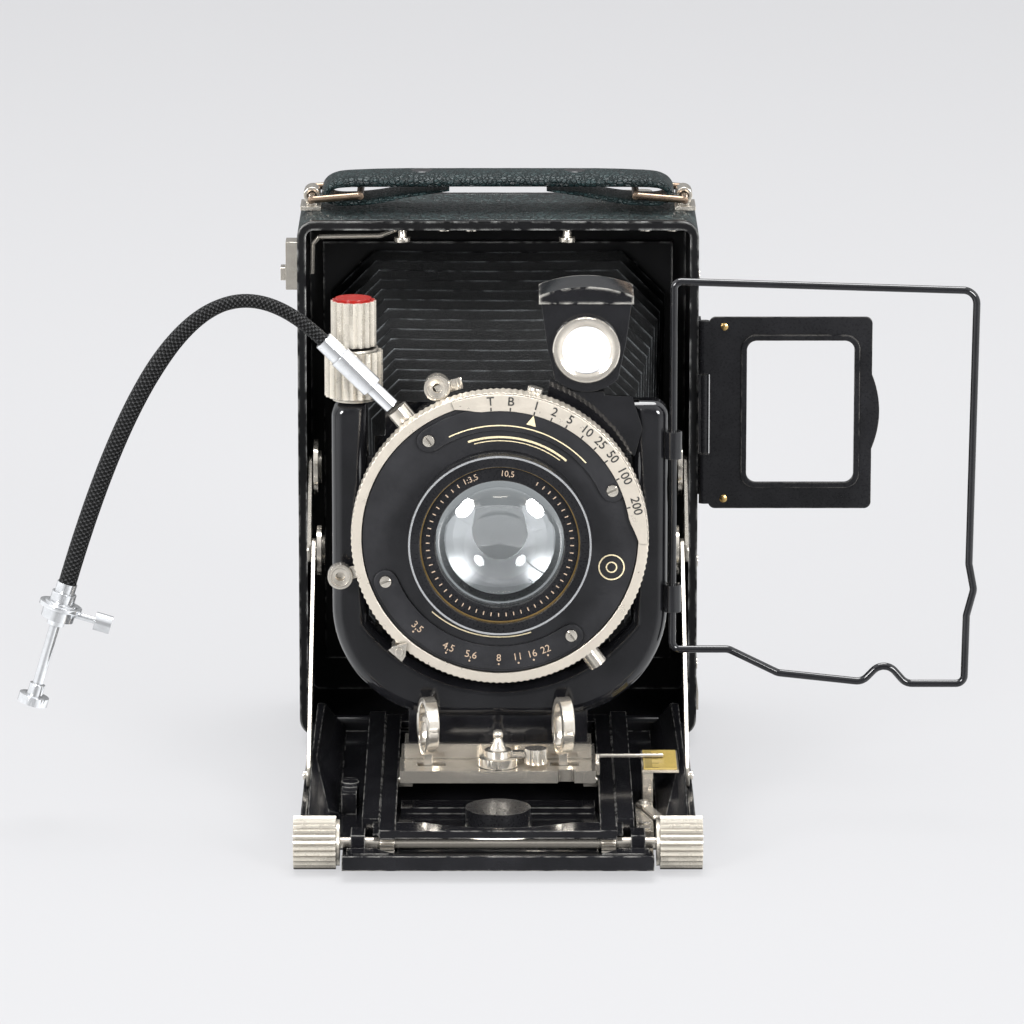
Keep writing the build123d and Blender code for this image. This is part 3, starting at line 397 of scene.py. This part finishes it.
def lathe(name, profile, centre, axis, material, body, segments=64, smooth_deg=35.0):
    """Turns (radius, height) pairs in millimetres about an axis through centre. Radius 0 closes an end."""
    axis = Vector(axis).normalized()
    side = axis.orthogonal().normalized()
    across = axis.cross(side)
    points = []
    for r, h in profile:
        for k in range(segments):
            a = 2 * math.pi * k / segments
            out = (side * math.cos(a) + across * math.sin(a)) * max(r, 0.001)
            points.append(centre + (out + axis * h) * MM)
    closed = profile[0] == profile[-1]
    if closed:
        faces = ring_faces(len(profile) - 1, segments, False, True)
        return from_points(name, points[:-segments], faces, material, body, smooth_deg)
    return from_points(name, points, ring_faces(len(profile), segments), material, body, smooth_deg)


def slab(name, outline, y0, y1, material, body, round_mm=0.0, smooth_deg=30.0):
    """A plate facing the lens side: outline in (x, z) millimetres, from y0 to y1."""
    points = [at(x, y0, z) for x, z in outline] + [at(x, y1, z) for x, z in outline]
    obj = from_points(name, points, ring_faces(2, len(outline)), material, None, smooth_deg)
    return round_off(obj, round_mm, body)


def round_off(obj, round_mm, body, segments=3):
    """Rounds the sharp edges of a piece before it rides on its body."""
    if round_mm:
        bevel = obj.modifiers.new("edges", "BEVEL")
        bevel.width = round_mm * MM
        bevel.segments = segments
        bevel.limit_method = "ANGLE"
        bevel.angle_limit = math.radians(40)
        bevel.harden_normals = True
    if body:
        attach(obj, body)
    return obj


def brick(name, low, high, material, body, round_mm=0.3):
    """A box between two case-frame corners with rounded edges."""
    (x0, y0, z0), (x1, y1, z1) = low, high
    outline = [(x0, z0), (x1, z0), (x1, z1), (x0, z1)]
    return slab(name, outline, y0, y1, material, body, round_mm)


def polar(radius, angle_deg):
    """(x, z) at a distance from the lens axis, anticlockwise from three o'clock."""
    a = math.radians(angle_deg)
    return LENS_X + radius * math.cos(a), LENS_Z + radius * math.sin(a)


def lettering(name, text, size_mm, spot, angle_deg, y, material, body, depth_mm=0.04):
    """Raised or inlaid characters standing on a plane that faces the lens side."""
    curve = bpy.data.curves.new(name, "FONT")
    curve.body = text
    curve.size = size_mm * MM
    curve.extrude = depth_mm * MM
    curve.align_x = "CENTER"
    curve.align_y = "CENTER"
    holder = bpy.data.objects.new(name + "_curve", curve)
    bpy.context.scene.collection.objects.link(holder)
    turn = Matrix.Rotation(math.radians(-angle_deg), 4, "Y") @ Matrix.Rotation(math.radians(90), 4, "X")
    holder.matrix_world = Matrix.Translation(at(spot[0], y, spot[1])) @ turn
    bpy.context.view_layer.update()
    mesh = bpy.data.meshes.new_from_object(holder.evaluated_get(bpy.context.evaluated_depsgraph_get()))
    mesh.transform(holder.matrix_world)
    bpy.data.objects.remove(holder)
    return place(name, mesh, material, body, 30)


def dress(material, *nodes):
    """Gives CAD nodes a finish, softened edges and smooth curves."""
    for name in nodes:
        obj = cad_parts[name]
        obj.data.materials.clear()
        obj.data.materials.append(material)
        weld = obj.modifiers.new("weld", "WELD")
        weld.merge_threshold = 0.000002
        bevel = obj.modifiers.new("edges", "BEVEL")
        bevel.width = 0.00012
        bevel.segments = 2
        bevel.limit_method = "ANGLE"
        bevel.angle_limit = math.radians(38)
        obj.data.polygons.foreach_set("use_smooth", [True] * len(obj.data.polygons))
        smooth = obj.modifiers.new("normals", "WEIGHTED_NORMAL")
        smooth.keep_sharp = True


# ---------------------------------------------------------------- pieces

# Each length of the bellows: the bodies at its two ends, and where it starts and ends, back to front.
BELLOWS_STAGES = (("case", "track", 33.0, 3.0), ("track", "carriage", 3.0, -37.0),
                  ("carriage", "standard", -37.0, -45.0), ("standard", "lens_panel", -45.0, -53.0))
FOLDS = 15
FOLD_DEPTH = 3.6
# Half width, half height, corner cut and height of the middle of the bellows at the back and at the front.
BELLOWS_BACK = Vector((38.5, 48.0, 10.4, 59.0))
BELLOWS_FRONT = Vector((27.6, 27.6, 6.5, LENS_Z))
# One fold from valley to valley: share of its length, share of its height.
FOLD_SHAPE = ((0.0, 0.0), (0.08, 0.10), (0.42, 0.93), (0.47, 1.0), (0.53, 1.0), (0.58, 0.93), (0.92, 0.10))


def build_bellows():
    """Four lengths of folds, split where the table puts the ends of each length."""
    low, high = cad_box("bellows")
    length = high.y - low.y
    rng = random.Random(4)
    lean = [rng.uniform(-0.35, 0.35) for _ in range(FOLDS + 1)]
    rings = [((fold + share) / FOLDS, rise, fold) for fold in range(FOLDS) for share, rise in FOLD_SHAPE]
    rings.append((1.0, 0.0, FOLDS))
    for number, (a, b, back, front) in enumerate(BELLOWS_STAGES):
        first, last = (high.y - back) / length, (high.y - front) / length
        chosen = [r for r in rings if first - 1e-6 <= r[0] <= last + 1e-6]
        for share in (first, last):
            if 0 < share < 1 and all(abs(share - r[0]) > 1e-4 for r in chosen):
                chosen.append((share, fold_rise(share * FOLDS % 1), int(share * FOLDS)))
        points = []
        for share, rise, fold in sorted(chosen):
            points += bellows_ring(share, rise, high.y - length * share, lean[fold])
        faces = ring_faces(len(chosen), len(points) // len(chosen), False)
        obj = from_points(f"bellows_{number}", points, faces, PLEAT, None, 28)
        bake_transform(obj)
        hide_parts("bellows")


def fold_rise(position):
    """Height of the fold at a share of its length, read between the points of its shape."""
    for (s0, r0), (s1, r1) in zip(FOLD_SHAPE, FOLD_SHAPE[1:] + ((1.0, 0.0),)):
        if s0 <= position <= s1:
            return r0 + (r1 - r0) * (position - s0) / (s1 - s0)
    return 0.0


def bellows_ring(share, rise, y, lean):
    """Chamfered rectangle with a few points along each side, drawn in by the fold."""
    half_w, half_h, cut, middle = BELLOWS_BACK.lerp(BELLOWS_FRONT, share)
    half_w -= FOLD_DEPTH * (1 - rise)
    half_h -= FOLD_DEPTH * (1 - rise)
    cut += lean
    quarter = [(half_w, half_h - cut), (half_w - cut, half_h)]
    upper = quarter + [(-x, z) for x, z in reversed(quarter)]
    corners = upper + [(-x, -z) for x, z in upper]
    points = []
    for i, (x0, z0) in enumerate(corners):
        x1, z1 = corners[(i + 1) % len(corners)]
        long_side = i % 2
        steps = 6 if long_side else 2
        for k in range(steps):
            t = k / steps
            sag = 0.35 * math.sin(math.pi * t) * long_side
            x, z = x0 + (x1 - x0) * t, z0 + (z1 - z0) * t
            inward = 1 - sag / math.hypot(x, z)
            points.append(at(LENS_X * share + x * inward, y, middle + z * inward))
    return points


def build_cable():
    """Braided sleeve along one smooth bend; it thickens where a second layer is bound over it."""
    low, high = cad_box("release_cable")
    y = (low.y + high.y) / 2
    start, leave = Vector((-37.5, 104.29)), Vector((-56.0, 122.54))
    arrive, end = Vector((-73.8, 115.1)), Vector((-93.12, 50.95))
    path = []
    steps = 96
    for k in range(steps + 1):
        t = k / steps
        p = start * (1 - t) ** 3 + leave * 3 * t * (1 - t) ** 2 + arrive * 3 * t * t * (1 - t) + end * t ** 3
        path.append(at(p.x, y, p.y))
    obj = tube("cable_braid", path, cable_radius, BRAID, "lens_panel", 20, uv_step=2.0)
    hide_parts("release_cable")


def cable_radius(share):
    """Radius in millimetres at a share of the length."""
    thin, thick = 1.5, 1.95
    return thin + (thick - thin) * min(1.0, max(0.0, (share - 0.4) * 4))


def spline(knots, steps):
    """Catmull-Rom curve through the knots."""
    path = []
    for i in range(len(knots) - 1):
        p0 = knots[max(i - 1, 0)]
        p1, p2 = knots[i], knots[i + 1]
        p3 = knots[min(i + 2, len(knots) - 1)]
        for k in range(steps):
            t = k / steps
            path.append(0.5 * (2 * p1 + (p2 - p0) * t + (2 * p0 - 5 * p1 + 4 * p2 - p3) * t * t
                               + (3 * p1 - p0 - 3 * p2 + p3) * t ** 3))
    path.append(knots[-1])
    return path


# Figures of the shutter and the angles they stand at, anticlockwise from three o'clock.
STOPS = (("3,5", 227.6), ("4,5", 245.2), ("5,6", 256.3), ("8", 269.5), ("11", 278.4), ("16", 285.3),
         ("22", 292.0))
TIMES = (("T", 93.8), ("B", 85.5), ("1", 75.0), ("2", 67.2), ("5", 60.0), ("10", 51.8), ("25", 44.3),
         ("50", 36.8), ("100", 27.5), ("200", 14.0))
SCALE_BORE = 28.1
INLAY = 0.03


def build_stops():
    """Stops of the lens, each with a dot outside it."""
    plate = cad_box("scale_plates")[0].y - INLAY
    disc = [(0, 0), (0.22, 0), (0.22, 0.05), (0, 0.05)]
    for text, angle in STOPS:
        name = text.replace(",", "_")
        lettering(f"stop_{name}", text, 2.2, polar(26.4, angle), angle + 90, plate, FADED, "lens_panel")
        x, z = polar(SCALE_BORE - 0.35, angle)
        lathe(f"stop_dot_{name}", disc, at(x, plate, z), (0, -1, 0), FADED, "lens_panel", 12)


def build_engraving():
    """Plain lines, ticks and rings on the shutter face; the figures are only lens data."""
    face = cad_box("face_plate")[0].y - INLAY
    scale_face = cad_box("scale_plates")[0].y - INLAY
    arcs = ((24.9, 0.25, 42, 116, scale_face), (22.2, 0.45, 50, 108, face), (21.4, 0.2, 53, 105, face),
            (21.9, 0.25, 228, 288, face))
    for number, (radius, width, start, stop, y) in enumerate(arcs):
        arc_line(f"face_line_{number}", radius, width, start, stop, y, CREAM, "lens_panel")
    x, z = polar(24.9, -15)
    ring_line("plain_badge", 2.7, 0.28, at(x, face, z), CREAM, "lens_panel")
    ring_line("plain_badge_centre", 1.1, 0.28, at(x, face, z), CREAM, "lens_panel")
    ring_face = cad_box("lens_ring")[0].y - INLAY
    for text, angle in (("1:3,5", 114), ("10,5", 84)):
        name = "lens_" + text.replace(",", "_").replace(":", "_")
        lettering(name, text, 1.8, polar(15.5, angle), angle - 90, ring_face, FADED, "lens_panel")
    ticks = [(15.1, 15.9, angle, 0.22) for angle in range(-235, 60, 6)]
    marks("lens_ring_ticks", ticks, ring_face, FADED, "lens_panel")


def build_speed_scale():
    """Wider part of the speed ring that carries the shutter times."""
    low = cad_box("speed_ring")[0]
    front = low.y - 0.6
    steps = 40
    start, stop, ease = -2, 109, 10
    angles = [start + (stop - start) * k / steps for k in range(steps + 1)]
    outer = [polar(31.7, a) for a in angles]
    narrow = 30.0
    inner = []
    for a in reversed(angles):
        share = min(1.0, (a - start) / ease, (stop - a) / ease)
        inner.append(polar(narrow + (SCALE_BORE - narrow) * share, a))
    slab("speed_scale", outer + inner, front, low.y - 0.25, SATIN_NICKEL, "speed_dial", 0.1)
    for text, angle in TIMES:
        spot = polar(30.2, angle)
        lettering(f"speed_{text}", text, 2.7, spot, angle - 90, front - INLAY, ENGRAVING, "speed_dial")
    ticks = [(SCALE_BORE + 0.05, SCALE_BORE + 0.8, angle, 0.28) for _, angle in TIMES]
    marks("speed_ticks", ticks, front - INLAY, ENGRAVING, "speed_dial")
    plate = cad_box("scale_plates")[0].y
    triangle = [polar(25.8, 72.7), polar(25.8, 77.3), polar(28.0, 75)]
    slab("speed_index", triangle, plate - 0.12, plate, CREAM, "lens_panel")


def arc_line(name, radius, width, start, stop, y, material, body):
    """Thin raised line on part of a circle about the lens axis."""
    steps = 24
    angles = [start + (stop - start) * k / steps for k in range(steps + 1)]
    outer = [polar(radius + width / 2, a) for a in angles]
    inner = [polar(radius - width / 2, a) for a in reversed(angles)]
    slab(name, outer + inner, y, y + 0.05, material, body)


def ring_line(name, radius, width, centre, material, body, height=0.06):
    """Thin raised ring that faces the lens side."""
    inner, outer = radius - width / 2, radius + width / 2
    profile = [(inner, 0), (outer, 0), (outer, height), (inner, height), (inner, 0)]
    lathe(name, profile, centre, (0, -1, 0), material, body, 96)


def marks(name, strokes, y, material, body):
    """Short radial strokes (inner radius, outer radius, angle, width) as one mesh."""
    points, faces = [], []
    for inner, outer, angle, width in strokes:
        a = math.radians(angle)
        out = Vector((math.cos(a), math.sin(a)))
        side = Vector((-out.y, out.x)) * width / 2
        corners = [out * inner - side, out * outer - side, out * outer + side, out * inner + side]
        first = len(points)
        points += [at(LENS_X + c.x, d, LENS_Z + c.y) for d in (y, y + 0.05) for c in corners]
        faces += [tuple(first + v for v in face) for face in ring_faces(2, 4)]
    from_points(name, points, faces, material, body)


def build_lens():
    """Front and rear glass, the polished rim of the barrel and the brass line inside it."""
    front = [(0, 5.9), (4.0, 5.65), (7.5, 5.0), (10.5, 4.1), (13.0, 2.9), (13.75, 2.4), (13.75, 0.9),
             (12.5, 0.5), (9.0, -0.5), (5.0, -1.1), (0, -1.4)]
    glass = lathe("front_glass", front, at(LENS_X, -72.0, LENS_Z), (0, -1, 0), GLASS, "lens_panel", 96, 60)
    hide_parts("lens_glasses")
    rear = [(0, 2.4), (6, 1.8), (11.0, 0.4), (12.2, 0.0), (12.2, -1.6), (0, -1.6)]
    glass = lathe("rear_glass", rear, at(LENS_X, -53.2, LENS_Z), (0, 1, 0), GLASS, "lens_panel", 64, 60)
    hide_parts("lens_glasses")
    barrel = at(LENS_X, cad_box("lens_cells")[0].y, LENS_Z)
    ring_line("barrel_rim", 19.45, 0.4, barrel, CHROME, "lens_panel", 0.15)
    name_ring = at(LENS_X, cad_box("lens_ring")[0].y, LENS_Z)
    ring_line("lens_brass_line", 17.05, 0.3, name_ring, BRASS, "lens_panel", 0.1)
    low, high = cad_box("finder_body")
    middle = (low.x + high.x) / 2
    rim = [(5.2, 0.2), (7.1, 0), (7.25, 0.3), (7.0, 0.75), (6.4, 0.85), (5.6, 0.5), (5.2, 0.3), (5.2, 0.2)]
    lathe("finder_rim", rim, at(middle, low.y, 102), (0, -1, 0), NICKEL, "finder", 64, 50)


# Left half of the strap, from the end of its tongue round the link to the middle: x, z, thickness.
STRAP_PATH = ((-11.0, 122.9, 0.35), (-16.0, 122.5, 0.9), (-21.0, 122.0, 1.2), (-27.0, 120.9, 1.5),
              (-32.5, 120.4, 1.5), (-36.6, 120.5, 1.6), (-38.4, 121.5, 1.8), (-38.7, 123.0, 1.9),
              (-37.3, 124.3, 2.0), (-34.0, 124.9, 2.1), (-24.0, 125.05, 2.2), (-12.0, 125.1, 2.2),
              (0.0, 125.1, 2.2))
RIVET_RADIUS = 3.0


def build_strap():
    """Padded strap: one band that wraps both links and ends in tapered tongues below."""
    low, high = cad_box("handle_strap")
    middle, half = (low.y + high.y) / 2, (high.y - low.y) / 2
    left = [Vector(p) for p in STRAP_PATH]
    right = [Vector((-p.x, p.y, p.z)) for p in reversed(left[:-1])]
    line = spline(left + right, 6)
    rng = random.Random(11)
    rings = []
    count = len(line)
    for i, p in enumerate(line):
        ahead, behind = line[min(i + 1, count - 1)], line[max(i - 1, 0)]
        along = Vector((ahead.x - behind.x, ahead.y - behind.y)).normalized()
        up = Vector((-along.y, along.x))
        depth = min(i, count - 1 - i) / (count / 2)
        narrow = 0.62 + 0.38 * min(1.0, max(0.0, depth * 5.5))
        dome = 0.75 * min(1.0, max(0.0, (depth - 0.62) * 5)) + 0.05 * rng.random()
        rings.append([(across * half * narrow, up, p, lift) for across, lift in strap_section(p.z, dome)])
    points = []
    for ring in rings:
        for y, up, p, lift in ring:
            points.append(at(p.x + up.x * lift, middle + y, p.y + up.y * lift))
    obj = from_points("strap", points, ring_faces(len(rings), len(rings[0])), STRAP, "case", 60)
    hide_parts("handle_strap")
    dome = [(0, 0.6), (1.3, 0.56), (2.3, 0.4), (2.9, 0.1), (RIVET_RADIUS, -0.1), (RIVET_RADIUS, -0.35),
            (0, -0.35)]
    low, high = cad_box("strap_rivets")
    for number, x in enumerate((low.x + RIVET_RADIUS, high.x - RIVET_RADIUS)):
        rivet = lathe(f"strap_rivet_{number}", dome, at(x, middle, low.z), (0, 0, 1), GLOSS, "case", 48, 60)
        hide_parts("strap_rivets")


def strap_section(thickness, dome):
    """Points (share of half width, height) round the strap: rounded edges, flat below, domed above."""
    half = thickness / 2
    upper = [(u, half - 0.28 * abs(u) ** 6 * thickness + dome * (1 - abs(u) ** 2.2)) for u in
             (0.97, 0.9, 0.75, 0.5, 0.25, 0, -0.25, -0.5, -0.75, -0.9, -0.97)]
    lower = [(u, -half + 0.2 * abs(u) ** 8 * thickness) for u in (-0.96, -0.8, -0.4, 0, 0.4, 0.8, 0.96)]
    return upper + [(-1.0, 0.0)] + lower + [(1.0, 0.0)]


def build_bed_details():
    """Distance scale with its ticks, and the two screws of the mask."""
    left, right, front, back, top = 31.2, 39.2, -72.5, -55.5, 10.8
    margin, leaf = 0.4, 0.25
    low, high = (left + margin, front + margin, top), (right - margin, back - margin, top + leaf)
    brick("scale_face", low, high, IVORY, "case", 0.08)
    points, faces = [], []
    x, count, pitch, width = left + 0.7, 17, 0.93, 0.16
    for k in range(count):
        y = front + 1.2 + k * pitch
        reach = 1.6 if k % 4 else 3.0
        first = len(points)
        corners = [(x, y), (x + reach, y), (x + reach, y + width), (x, y + width)]
        points += [at(u, v, z) for z in (top + leaf - 0.01, top + leaf + 0.04) for u, v in corners]
        faces += [tuple(first + v for v in face) for face in ring_faces(2, 4)]
    from_points("scale_marks", points, faces, ENGRAVING, "case")
    low, high = cad_box("side_mask")
    head = [(0, 0.25), (0.5, 0.22), (0.85, 0.05), (0.85, -0.3), (0, -0.3)]
    for number, z in enumerate((low.z + 2.2, high.z - 2.2)):
        spot = at(low.x + 5.5, low.y + 0.5, z)
        lathe(f"mask_screw_{number}", head, spot, (0, -1, 0), BRASS, "mask", 24, 50)


def paint_inlay():
    """The top knob's inlaid disc is red; the rest of the knob stays metal."""
    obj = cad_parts["clamp_knob"]
    obj.data.materials.append(RED)
    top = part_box("clamp_knob")[1].z
    for polygon in obj.data.polygons:
        if polygon.center.z > top - 0.52 * MM:
            polygon.material_index = 1


def dress_frame():
    """One finish for each CAD node that stays visible."""
    dress(INSIDE, "case_shell", "bellows_frame")
    dress(LEATHER, "leather_covers", "back_cover")
    dress(BED, "bed_plate", "track", "track_guides")
    dress(GLOSS, "u_frame", "wire_finder", "lens_board", "shutter_case", "finder_body", "finder_bracket")
    dress(HOOD, "finder_hood")
    dress(FACE, "face_plate", "scale_plates")
    dress(SATIN, "side_mask", "mask_hinge", "tripod_bush", "focusing_back", "back_rails",
          "lens_cells", "lens_ring")
    dress(NICKEL, "aperture_pointer", "back_catch", "bed_catch", "carriage_base", "case_screws",
          "cocking_lever", "focus_pointer", "focus_shaft", "grip_left", "grip_right", "latch_spring",
          "pivot_pins", "plate_screws", "release_lever", "scale_and_stop", "shift_lock", "shutter_fittings",
          "stop_lever", "strap_lugs")
    dress(DULL, "struts")
    dress(SATIN_NICKEL, "speed_ring")
    dress(FLUTED, "focus_knobs", "rise_knob", "clamp_knob")
    dress(CHROME, "cable_ends", "plunger", "lock_screw")
    dress(AGED, "strap_links")
    dress(EYE, "finder_lenses")
    dress(FROST, "ground_glass")
    dress(STEEL, "shutter_and_iris_leaves")
    paint_inlay()


# ---------------------------------------------------------------- stage

def soft_disc(name, direction, distance, size, power):
    """A round soft light that faces the lens from a direction."""
    target = at(LENS_X, -78, LENS_Z)
    light = bpy.data.lights.new(name, "AREA")
    light.shape = "DISK"
    light.size = size
    light.energy = power
    obj = bpy.data.objects.new(name, light)
    bpy.context.scene.collection.objects.link(obj)
    obj.location = target + Vector(direction).normalized() * distance
    obj.rotation_euler = (target - obj.location).to_track_quat("-Z", "Y").to_euler()


def build_floor(paper_tone):
    """A pale sheet that curves up behind the camera, evenly lit where the lens sees it."""
    floor_z = CAD_BOX[0][2]
    reach, rise, radius = 2.2, 2.4, 0.8
    sweep = [(-3.0, 0.0), (reach - radius, 0.0)]
    sweep += [(reach - radius + radius * math.sin(a), radius - radius * math.cos(a))
              for a in [math.pi / 2 * k / 12 for k in range(1, 13)]]
    sweep.append((reach, rise))
    mesh = bpy.data.meshes.new("floor")
    points = [(x, y, z + floor_z) for y, z in sweep for x in (-4.0, 4.0)]
    faces = [(2 * i, 2 * i + 1, 2 * i + 3, 2 * i + 2) for i in range(len(sweep) - 1)]
    mesh.from_pydata(points, [], faces)
    paper = Shader("paper")
    paper.finish(Base_Color=rgb(0.62, 0.62, 0.632), Roughness=0.9)
    glow = paper.add("Emission", {"Color": paper_tone, "Strength": 1.0})
    seen = paper.maths("MULTIPLY", paper.add("LightPath").outputs["Is Camera Ray"], 0.8)
    both = paper.add("MixShader", {0: seen, 1: paper.surface.outputs[0], 2: glow.outputs[0]})
    out = paper.tree.nodes["Material Output"]
    paper.tree.links.new(both.outputs[0], out.inputs["Surface"])
    mesh.materials.append(paper.material)
    floor = bpy.data.objects.new("floor", mesh)
    bpy.context.scene.collection.objects.link(floor)
    soften(floor, 60)
    floor.visible_glossy = False


def build_world():
    """Bright sides, top and table with a darker band where the viewer stands, for the metal to reflect."""
    world = bpy.data.worlds.new("studio")
    bpy.context.scene.world = world
    world.use_nodes = True
    tree = world.node_tree

    def add(kind, *values, **settings):
        node = tree.nodes.new("ShaderNode" + kind)
        for key, value in settings.items():
            setattr(node, key, value)
        for number, value in enumerate(values):
            if isinstance(value, bpy.types.NodeSocket):
                tree.links.new(value, node.inputs[number])
            elif value is not None:
                node.inputs[number].default_value = value
        return node

    parts = add("SeparateXYZ", add("TexCoord").outputs["Generated"]).outputs
    side = add("Math", parts["X"], operation="ABSOLUTE").outputs[0]
    sides = add("MapRange", side, 0.25, 0.75, 0.22, 0.95).outputs[0]
    above = add("MapRange", parts["Z"], 0.35, 0.8, 0.0, 0.7).outputs[0]
    table = add("MapRange", parts["Z"], -0.05, -0.45, 0.0, 0.35).outputs[0]
    round_about = add("Math", sides, above, operation="ADD").outputs[0]
    light = add("Math", round_about, table, operation="ADD").outputs[0]
    tree.links.new(light, tree.nodes["Background"].inputs["Strength"])
    tree.nodes["Background"].inputs["Color"].default_value = (0.97, 0.985, 1.0, 1.0)


def build_stage():
    """Floor, surroundings and three soft lights."""
    build_floor(rgb(0.70, 0.70, 0.715))
    build_world()
    for side in (-1, 1):
        soft_disc(f"upper_{side}", (side * 0.527, -0.790, 0.311), 1.3, 0.44, 13)
    soft_disc("top", (0.0, 0.25, 1.0), 1.3, 0.9, 22)
    bpy.context.scene.view_settings.view_transform = "Standard"


def build_camera():
    """Long lens looking down by 12.5 degrees, a little to the right of the camera's middle."""
    target = at(0, 0, 52)
    distance, tilt = 1.560, math.radians(12.5)
    camera = bpy.data.cameras.new("camera")
    camera.sensor_width = 36.0
    camera.lens = 243.1
    camera.shift_x = 14 / 1024
    camera.clip_end = 20.0
    obj = bpy.data.objects.new("camera", camera)
    bpy.context.scene.collection.objects.link(obj)
    obj.location = target + Vector((0, -math.cos(tilt), math.sin(tilt))) * distance
    obj.rotation_euler = (math.pi / 2 - tilt, 0, 0)
    bpy.context.scene.camera = obj


def main():
    dress_frame()
    build_bellows()
    build_strap()
    build_cable()
    build_lens()
    build_speed_scale()
    build_stops()
    build_engraving()
    build_bed_details()
    build_stage()
    build_camera()


main()
